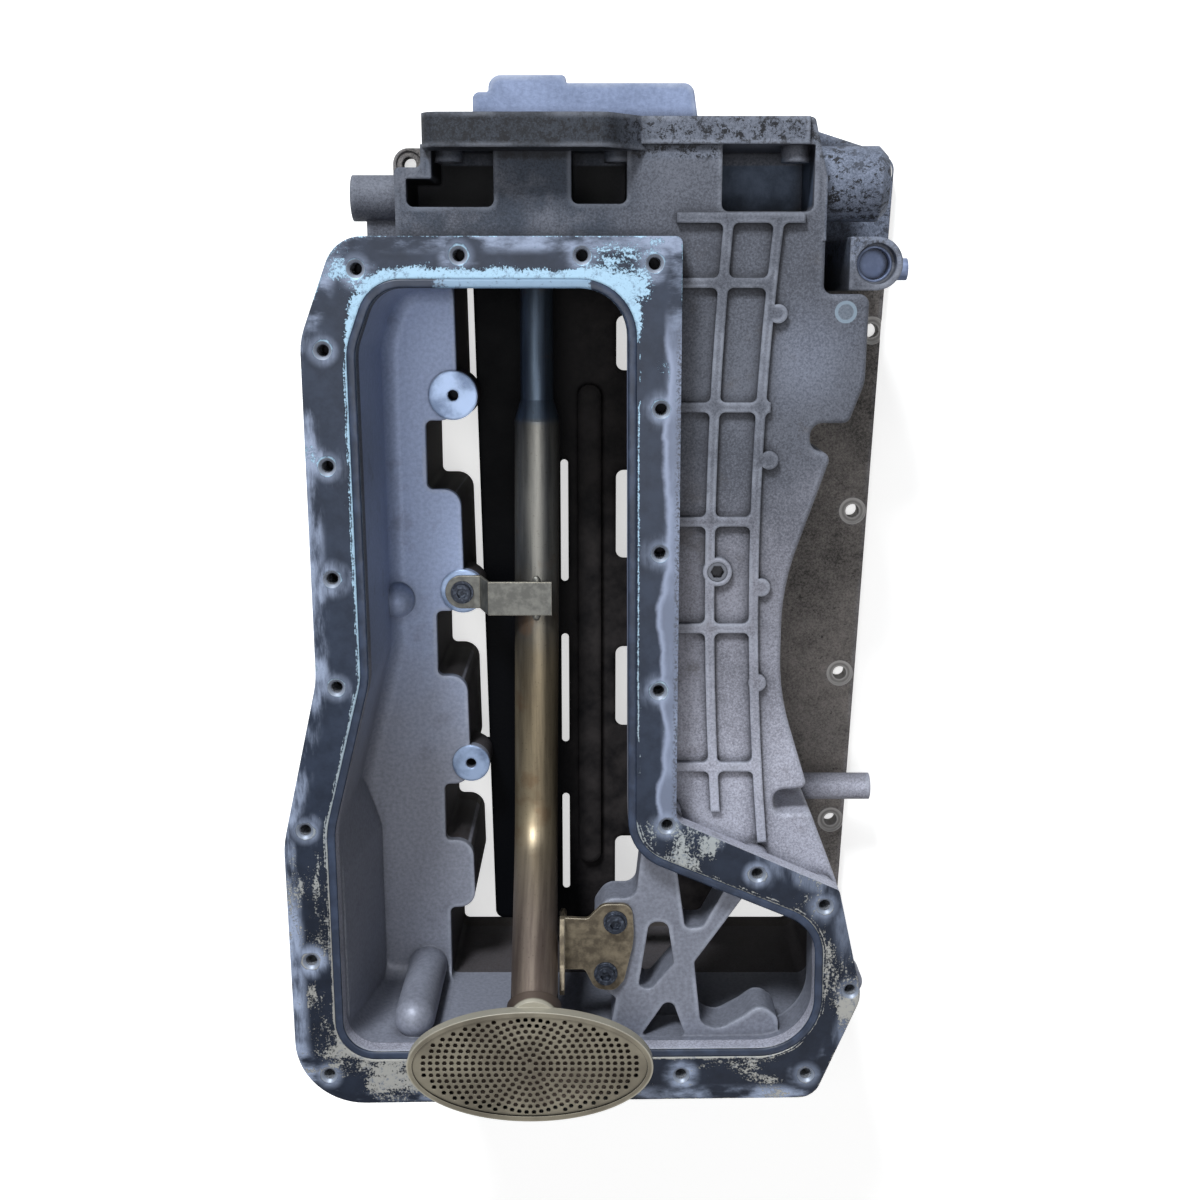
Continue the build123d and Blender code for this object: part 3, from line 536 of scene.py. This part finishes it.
def eased(corners):
    """Points of a closed outline whose corners are rounded, in the frame."""
    points = []
    for index, (x, y, radius) in enumerate(corners):
        corner = Vector((x, y))
        before = (Vector(corners[index - 1][:2]) - corner).normalized()
        after = (Vector(corners[(index + 1) % len(corners)][:2]) - corner).normalized()
        half_angle = before.angle(after) / 2
        centre = corner + (before + after).normalized() * radius / math.sin(half_angle)
        first = corner + before * radius / math.tan(half_angle) - centre
        last = corner + after * radius / math.tan(half_angle) - centre
        turn = first.angle_signed(last)
        for step in range(corner_steps + 1):
            arm = first.copy()
            arm.rotate(Matrix.Rotation(-turn * step / corner_steps, 2))
            points.append(Vector(plan(*(centre + arm))).to_2d())
    return points


def reach_of_outline(point, outline):
    """Distance of a plan point to a closed outline."""
    nearest = math.inf
    for start, end in zip(outline, outline[1:] + outline[:1]):
        share = intersect_point_line(point, start, end)[1]
        foot = start.lerp(end, min(max(share, 0.0), 1.0))
        nearest = min(nearest, (point - foot).length)
    return nearest


def copy_of(source, name):
    """New piece with its own copy of a mesh."""
    piece = bpy.data.objects.new(name, source.data.copy())
    bpy.context.scene.collection.objects.link(piece)
    return piece


def take(piece):
    """Makes this the one selected and active piece."""
    select_none()
    piece.select_set(True)
    bpy.context.view_layer.objects.active = piece


def merge_all():
    """Joins the loose triangles of the mesh in edit mode where their corners meet."""
    bpy.ops.mesh.select_all(action="SELECT")
    bpy.ops.mesh.remove_doubles(threshold=merge_distance)


# the casting's top face alone, cut into small cells
film = copy_of(nodes["pan_casting"], "sealant_film")
take(film)
bpy.ops.object.mode_set(mode="EDIT")
shape = bmesh.from_edit_mesh(film.data)
for face in shape.faces:
    low = face.calc_center_median().z < flange_top - top_face_depth
    face.select = face.normal.z < 0.9 or low
bmesh.update_edit_mesh(film.data)
bpy.ops.mesh.delete(type="FACE")
merge_all()
for axis in (0, 1):
    direction = [0.0, 0.0, 0.0]
    direction[axis] = 1.0
    for index in range(1, int((pan_high[axis] - pan_low[axis]) / film_cell)):
        cut_place = [0.0, 0.0, 0.0]
        cut_place[axis] = pan_low[axis] + index * film_cell
        bpy.ops.mesh.select_all(action="SELECT")
        bpy.ops.mesh.bisect(plane_co=cut_place, plane_no=direction)
bpy.ops.object.mode_set(mode="OBJECT")

# each point of it knows its distance to the opening, to the rim and to the nearest screw hole
opening_outline = eased(opening_corners)
rim_outline = eased(flange_corners)
hole_centres = [Vector(plan(*centre)).to_2d() for centre in flange_holes]
reaches = {"edge_reach": [], "rim_reach": [], "hole_reach": []}
for vertex in film.data.vertices:
    spot = vertex.co.to_2d()
    reaches["edge_reach"].append(1000 * reach_of_outline(spot, opening_outline))
    reaches["rim_reach"].append(1000 * reach_of_outline(spot, rim_outline))
    reaches["hole_reach"].append(1000 * min((spot - centre).length for centre in hole_centres))
    vertex.co.z = flange_top + film_lift
for name, values in reaches.items():
    film.data.attributes.new(name, "FLOAT", "POINT").data.foreach_set("value", values)

film_finish, place = new_finish("old_sealant")
x, y = place.axes()[:2]
edge_reach, rim_reach, hole_reach = [
    place.step("ShaderNodeAttribute", {"attribute_name": name}, {}, 2) for name in reaches
]
far_strip = y.ramp(0.150, 0.185)
left_strip = x.ramp(-0.118, -0.132)
near_strip = y.ramp(-0.265, -0.280)
right_strip = x.ramp(0.012, 0.018) * y.ramp(-0.125, -0.115) * (1 - far_strip)
across_strips = far_strip.most(near_strip)
ragged = place.noise(650, 5.0, 0.75)
torn = place.noise(70, 4.0, 0.65)
patch = place.noise(24, 3.0, 0.5)
drawn_along = place.noise(110, 5.0, 0.65, (1.0, 0.22, 1.0))
drawn_across = place.noise(90, 5.0, 0.65, (0.40, 1.0, 1.0))
drawn = drawn_along * (1 - across_strips) + drawn_across * across_strips

# how far in millimetres the scraped strips reach from the bead, the rim and the screw holes
jag = (ragged - 0.5) * 12 + (torn - 0.5) * 12
inner_width = far_strip * 5.0 + left_strip * 0.6 + near_strip * 0.8 - right_strip * 1.5
inner = edge_reach - bead_width - inner_width - jag * (0.25 + far_strip * 0.75)
outer_width = far_strip * 0.8 + near_strip * 0.8 - 0.8
outer = rim_reach - outer_width - jag * 0.35
halo = hole_reach - hole_rim - (torn - 0.5) * 7
unscraped = inner.over(0, 0.3) * outer.ramp(-0.3, 0.6) * halo.ramp(-0.4, 1.4)

# a broken bright line just outside the bead, where a blade followed it
long_line = right_strip * y.ramp(-0.075, -0.065) * y.ramp(0.132, 0.125)
line_wander = (torn - 0.5) * (2.4 - long_line * 1.4) - long_line * 0.9
line_reach = (edge_reach - blade_line - line_wander).size() - long_line * 0.15
dash = (line_reach - 0.25 - (ragged - 0.5) * 3.2).under(0, 0.15)
dash = dash * (drawn + long_line * 0.2).ramp(0.50, 0.53)

# places where the sealant came off in flakes
flaked = reach_of_points(place, flaked_spots).ramp(38, 8)
strip_wear = near_strip * 0.02 - far_strip * 0.03 - right_strip * 0.04
worn_off = patch * 0.55 + drawn * 0.45 + (ragged - 0.5) * 0.40 + flaked * 0.13 + strip_wear
covered = unscraped * (1 - dash) * worn_off.ramp(0.64, 0.60)

# pale smears near the rim and the holes, and a pale band inside the rim of the right strip
handled = rim_reach.ramp(11, 4).most(hole_reach.ramp(14, 6))
smeared_strips = 0.45 + far_strip.most(left_strip).most(near_strip) * 0.55
smear = (drawn * 0.45 + patch * 0.55).ramp(0.44, 0.60) * handled * smeared_strips
smear = smear.most(hole_reach.ramp(11, 5) * (0.35 + drawn.ramp(0.40, 0.60) * 0.35))
rim_line = rim_reach + (patch - 0.5) * 16 + (torn - 0.5) * 4
rim_band = rim_line.ramp(10.5, 7.5) * right_strip * (0.50 + rim_line.ramp(5.0, 8.0) * 0.45)
rim_flecks = rim_reach.ramp(4, 1) * right_strip * ragged.ramp(0.45, 0.60)
tear = torn.ramp(0.3, 0.7)
far_sealant = tear.mix(srgb(34, 42, 57), srgb(46, 55, 72))
near_sealant = tear.mix(srgb(22, 28, 40), srgb(32, 39, 53))
film_colour = y.ramp(-0.05, -0.20).mix(far_sealant, near_sealant)
film_colour = (smear * (0.7 + ragged * 0.6)).mix(film_colour, srgb(150, 162, 186))
film_colour = rim_band.mix(film_colour, srgb(144, 154, 178))
film_colour = rim_flecks.mix(film_colour, srgb(74, 76, 84))
film_relief = place.bumped(covered * 0.8 + ragged * 0.2, film_depth)
film_rough = 0.40 + smear * 0.15
film_shader = place.surface(film_colour, film_rough, 0.0, film_relief, gloss=0.25, alpha=covered)
seal(film_finish, film_shader)
dress(film, film_finish)
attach(film, "root")

# Threads
# The screw holes of the joint face are tapped in the casting's own metal: a helical ridge runs down
# each drilled wall.
thread_radius = 0.0034
thread_pitch = 0.00125
thread_turns = 12
thread_start = 0.0022
ridge_radius = 0.0007
ridge_sink = 0.0001
turn_steps = 20
thread_finish, place = new_finish("thread_metal")
thread_tone = place.noise(900, 2.0).mix(srgb(176, 182, 192), srgb(226, 230, 238))
seal(thread_finish, place.surface(thread_tone, 0.35, 0.2))
select_none()
bpy.ops.mesh.primitive_circle_add(
    vertices=3, radius=ridge_radius, location=(thread_radius - ridge_sink, 0, 0),
    rotation=(math.pi / 2, 0, math.pi / 2),
)
ridge = bpy.context.object
bpy.ops.object.transform_apply(location=True, rotation=True, scale=True)
screw = ridge.modifiers.new("screw", "SCREW")
screw.axis = "Z"
screw.screw_offset = thread_pitch
screw.iterations = thread_turns
screw.steps = turn_steps
screw.render_steps = turn_steps
bpy.ops.object.modifier_apply(modifier="screw")
thread_low = flange_top - thread_start - thread_turns * thread_pitch
threads = []
for hole in flange_holes:
    thread = copy_of(ridge, "thread")
    thread.location = plan(*hole, thread_low * 1000)
    threads.append(thread)
bpy.data.objects.remove(ridge)
take(threads[0])
for thread in threads:
    thread.select_set(True)
bpy.ops.object.transform_apply(location=True, rotation=True, scale=True)
bpy.ops.object.join()
threads[0].name = "flange_threads"
dress(threads[0], thread_finish)
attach(threads[0], "root")

# Sealant bead
# Cured sealant that squeezed out along the inner edge of the joint face. It was left there, and is
# scraped bright along the far end of the opening.
bead_rise = 0.0004
bead_rounding = 0.0011
bead_depth = 0.0004
smooth_angle = 35
bead = copy_of(nodes["sealant_bead"], "squeezed_bead")
take(bead)
bpy.ops.object.mode_set(mode="EDIT")
merge_all()
bpy.ops.mesh.select_all(action="DESELECT")
shape = bmesh.from_edit_mesh(bead.data)
for vertex in shape.verts:
    vertex.select = vertex.co.z > flange_top - top_face_depth
shape.select_flush_mode()
bmesh.update_edit_mesh(bead.data)
bpy.ops.transform.translate(value=(0, 0, bead_rise))
bpy.ops.object.mode_set(mode="OBJECT")
rounding = bead.modifiers.new("rounding", "BEVEL")
rounding.width = bead_rounding
rounding.segments = 3
rounding.limit_method = "ANGLE"
bpy.ops.object.modifier_apply(modifier="rounding")
bpy.ops.object.shade_smooth_by_angle(angle=math.radians(smooth_angle))
bead_finish, place = new_finish("sealant")
x, y = place.axes()[:2]
bead_wave = place.noise(90, 3.0, 0.5)
bead_colour = bead_wave.ramp(0.4, 0.7).mix(srgb(42, 50, 66), srgb(56, 66, 86))
scraped = y.over(0.188, 0.002) * x.ramp(-0.104, -0.086) * x.ramp(-0.002, -0.012)
scraped = (scraped * 0.75 + (place.noise(240, 5.0, 0.75) - 0.5) * 1.6).ramp(0.45, 0.65)
bead_colour = scraped.mix(bead_colour, srgb(128, 154, 178))
bead_relief = place.bumped(bead_wave, bead_depth)
seal(bead_finish, place.surface(bead_colour, 0.38, 0.0, bead_relief, gloss=0.3))
dress(bead, bead_finish)
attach(bead, "root")
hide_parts("sealant_bead")

# Windage tray
# Black coated sheet steel with windows, slots and a pressed rib, screwed on from below. It is oily,
# and dusty near its right edge.
tray_edge_radius = 0.0045
tray_relief_depth = 0.0001
tray_finish, place = new_finish("tray_black")
x = place.axes()[0]
dust = place.noise(60, 5.0, 0.6)
right_half = x.ramp(-0.045, 0.000)
tray_colour = (dust.ramp(0.15, 0.85) * right_half).mix(srgb(5, 6, 9), srgb(50, 47, 47))
tray_normal = place.rounded_edges(tray_edge_radius)
tray_relief = place.bumped(place.noise(500, 2.0, 0.5), tray_relief_depth, tray_normal)
seal(tray_finish, place.surface(tray_colour, 0.40 + dust * 0.2, 0.0, tray_relief, gloss=0.05))
dress(nodes["windage_tray"], tray_finish)

# Pickup tube
# Drawn steel tube, bluish at its neck and tarnished further on by hot oil in golden and brown
# streaks along its length. Its neck is also painted darker as painted shade, and its end in the
# strainer's bell is painted near black as painted shade.
neck_end = 0.111
bell_mouth = -0.2230
tube_relief_depth = 0.00006
tube_finish, place = new_finish("tube_steel")
y = place.axes()[1]
blotch = place.noise(28, 4.0, 0.6)
fleck = place.noise(700, 2.0, 0.7)
oiled = place.noise(90, 5.0, 0.6, (1.0, 0.06, 0.06)).ramp(0.35, 0.65)
golden_steel = oiled.mix(srgb(104, 94, 77), srgb(160, 147, 122))
middle_steel = oiled.mix(srgb(80, 81, 81), srgb(132, 131, 126))
neck_steel_and_shade = oiled.mix(srgb(62, 72, 86), srgb(96, 110, 126))
brown_steel = oiled.mix(srgb(112, 98, 94), srgb(160, 146, 138))
tube_colour = (y + (blotch - 0.5) * 0.1).ramp(-0.07, 0.03).mix(golden_steel, middle_steel)
# the neck is bluish, and painted darker as painted shade
tube_colour = y.over(neck_end, 0.003).mix(tube_colour, neck_steel_and_shade)
tube_colour = (y.ramp(-0.150, -0.200) * 0.7).mix(tube_colour, brown_steel)
tube_colour = (blotch.ramp(0.58, 0.72) * 0.5).mix(tube_colour, srgb(120, 92, 66))
tube_colour = (fleck.ramp(0.62, 0.72) * 0.4).mix(tube_colour, srgb(66, 54, 44))
# painted shade: the end inside the strainer's bell is painted near black
tube_colour = y.under(bell_mouth).mix(tube_colour, srgb(10, 9, 8))
tube_relief = place.bumped(fleck, tube_relief_depth)
seal(tube_finish, place.surface(tube_colour, 0.40 + blotch * 0.14, 0.85, tube_relief))
dress(nodes["pickup_tube"], tube_finish)

# Tube O-ring
# Black rubber ring that seals the tube's neck in its port in the casting. It lies in a groove
# and can't be seen once the tube is in.
rubber_finish, place = new_finish("seal_rubber")
rubber_colour = place.noise(200).mix(srgb(24, 24, 25), srgb(40, 40, 42))
seal(rubber_finish, place.surface(rubber_colour, 0.6, 0.0))
dress(nodes["tube_o_ring"], rubber_finish)

# Strap and bracket
# Bent steel strips that hold the tube, the strap from a shelf boss and the bracket from the brace.
# They have an olive passivated finish, rubbed bright along their edges.
strip_edge_radius = 0.0010
strip_relief_depth = 0.00006
strip_finish, place = new_finish("bracket_steel")
y = place.axes()[1]
rub = place.noise(180, 4.0, 0.6)
rub_share = rub.ramp(0.35, 0.7)
strap_colour = rub_share.mix(srgb(98, 98, 95), srgb(126, 126, 121))
bracket_colour = rub_share.mix(srgb(92, 84, 72), srgb(132, 122, 104))
strip_colour = y.ramp(-0.10, -0.16).mix(strap_colour, bracket_colour)
strip_normal = place.rounded_edges(strip_edge_radius)
strip_edge = strip_normal.bent_from(place.facing()).ramp(0.02, 0.15)
strip_colour = (strip_edge * 0.7).mix(strip_colour, srgb(190, 182, 164))
strip_relief = place.bumped(place.noise(600, 2.0), strip_relief_depth, strip_normal)
seal(strip_finish, place.surface(strip_colour, 0.45 + rub * 0.15, 0.75, strip_relief))
dress(nodes["tube_strap"], strip_finish)
dress(nodes["tube_bracket"], strip_finish)

# Weld beads
# Small lumps of weld metal that hold the strap and the bracket's tail to the tube.
weld_places = [
    (-40.5, -177.4, 117.6), (-40.5, -199.9, 117.6), (-24.2, -399.0, 128.5), (-24.6, -411.5, 133.5),
]
weld_radius = 0.0026
weld_shape = (1.0, 1.3, 0.75)
lump_size = 0.0022
lump_height = 0.0012
for index, centre in enumerate(weld_places):
    select_none()
    bpy.ops.mesh.primitive_ico_sphere_add(
        subdivisions=3, radius=weld_radius, location=plan(*centre)
    )
    weld_bead = bpy.context.object
    bpy.ops.transform.resize(value=weld_shape)
    bpy.ops.object.transform_apply(location=True, rotation=True, scale=True)
    lumps = bpy.data.textures.new("lumps", "CLOUDS")
    lumps.noise_scale = lump_size
    uneven = weld_bead.modifiers.new("uneven", "DISPLACE")
    uneven.texture = lumps
    uneven.strength = lump_height
    bpy.ops.object.modifier_apply(modifier="uneven")
    bpy.ops.object.shade_smooth()
    weld_bead.name = f"weld_bead_{index + 1}"
    dress(weld_bead, strip_finish)
    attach(weld_bead, "root")

# Bolts
# Flanged steel bolts of the strap and the bracket, and the screws that hold the tray from below,
# all with a dark phosphate finish.
bolt_edge_radius = 0.0006
bolt_relief_depth = 0.00008
bolt_finish, place = new_finish("bolt_black")
wear = place.noise(500, 3.0, 0.6)
bolt_colour = wear.ramp(0.45, 0.7).mix(srgb(44, 49, 60), srgb(84, 92, 106))
bolt_relief = place.bumped(wear, bolt_relief_depth, place.rounded_edges(bolt_edge_radius))
seal(bolt_finish, place.surface(bolt_colour, 0.45, 0.6, bolt_relief))
for name, node in nodes.items():
    if "bolt" in name or "tray_screw" in name:
        dress(node, bolt_finish)

# Strainer
# Drawn bell and perforated plate of satin steel, the plate held in the bell's folded rim.
strainer_low, strainer_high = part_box("strainer_housing")
half_width = 0.0728
half_length = 0.0354
screen_depth = 0.0015
bell_depth = 0.0020
rim_depth = 0.0080
bell_side_depth = 0.0085
shade_distance = 0.006
strainer_edge_radius = 0.0006
strainer_relief_depth = 0.00005
strainer_finish, place = new_finish("strainer_steel")
x, y, z = place.axes()
depth = strainer_high.z - z
centre_x = (strainer_low.x + strainer_high.x) / 2
centre_y = strainer_low.y + half_length
across = (x - centre_x) * (1 / half_width)
along = (y - centre_y) * (1 / half_length)
oval = across * across + along * along
haze = place.noise(22, 4.0, 0.55)
strainer_colour = haze.ramp(0.35, 0.7).mix(srgb(112, 106, 94), srgb(150, 144, 128))
strainer_normal = place.rounded_edges(strainer_edge_radius)
steel_normal = place.facing()
# painted highlight: pale along the rounded edges of the rim
rim_highlight = strainer_normal.bent_from(steel_normal).ramp(0.02, 0.12) * oval.ramp(0.86, 0.94)
strainer_colour = (rim_highlight * 0.8).mix(strainer_colour, srgb(206, 202, 190))

# the walls of the plate's holes and the inside of the bell lie in the dark
tilt = steel_normal.axes()[2]
within_rim = oval.ramp(0.92, 0.88)
hole_wall = tilt.size().under(0.5, 0.1) * within_rim * depth.under(screen_depth, 0.0001)
bell_inside = tilt.over(-0.25, 0.05) * within_rim * depth.over(bell_depth, 0.0002)
shaded = place.openness(shade_distance, 8).ramp(0.75, 0.35).most(hole_wall).most(bell_inside)
strainer_colour = shaded.mix(strainer_colour, srgb(10, 9, 8))

# outside, the bell is browner than its rim, whose side is painted pale as a painted highlight
strainer_colour = depth.over(bell_side_depth, 0.0003).mix(strainer_colour, srgb(96, 84, 76))
rim_side_lit = depth.under(rim_depth) * oval.over(0.975, 0.015)
strainer_colour = (rim_side_lit * 0.7).mix(strainer_colour, srgb(170, 166, 152))
strainer_rough = 0.42 + haze * 0.12
strainer_metal = 0.75 - rim_side_lit * 0.4
strainer_relief = place.bumped(place.noise(900, 2.0), strainer_relief_depth, strainer_normal)
strainer_shader = place.surface(strainer_colour, strainer_rough, strainer_metal, strainer_relief)
seal(strainer_finish, strainer_shader)
dress(nodes["strainer_housing"], strainer_finish)
dress(nodes["strainer_screen"], strainer_finish)

# Plugs
# Pressed cup, small screw plug and socket plug of plain steel, which close drillings of the
# casting. Their recesses are painted dark as painted shade, so the socket plug is the darkest.
plug_edge_radius = 0.0008
plug_finish, place = new_finish("plug_steel")
y = place.axes()[1]
plug_colour = place.noise(60, 4.0).ramp(0.4, 0.7).mix(srgb(98, 110, 138), srgb(138, 152, 184))
plug_colour = y.ramp(0.15, 0.10).mix(plug_colour, srgb(92, 95, 103))
plug_recess_shade = place.openness(shade_distance, 8).ramp(0.80, 0.40)
plug_colour = plug_recess_shade.mix(plug_colour, srgb(22, 22, 26))
seal(plug_finish, place.surface(plug_colour, 0.42, 0.6, place.rounded_edges(plug_edge_radius)))
for name in ("gallery_cup_plug", "gallery_side_plug", "plate_socket_plug"):
    dress(nodes[name], plug_finish)
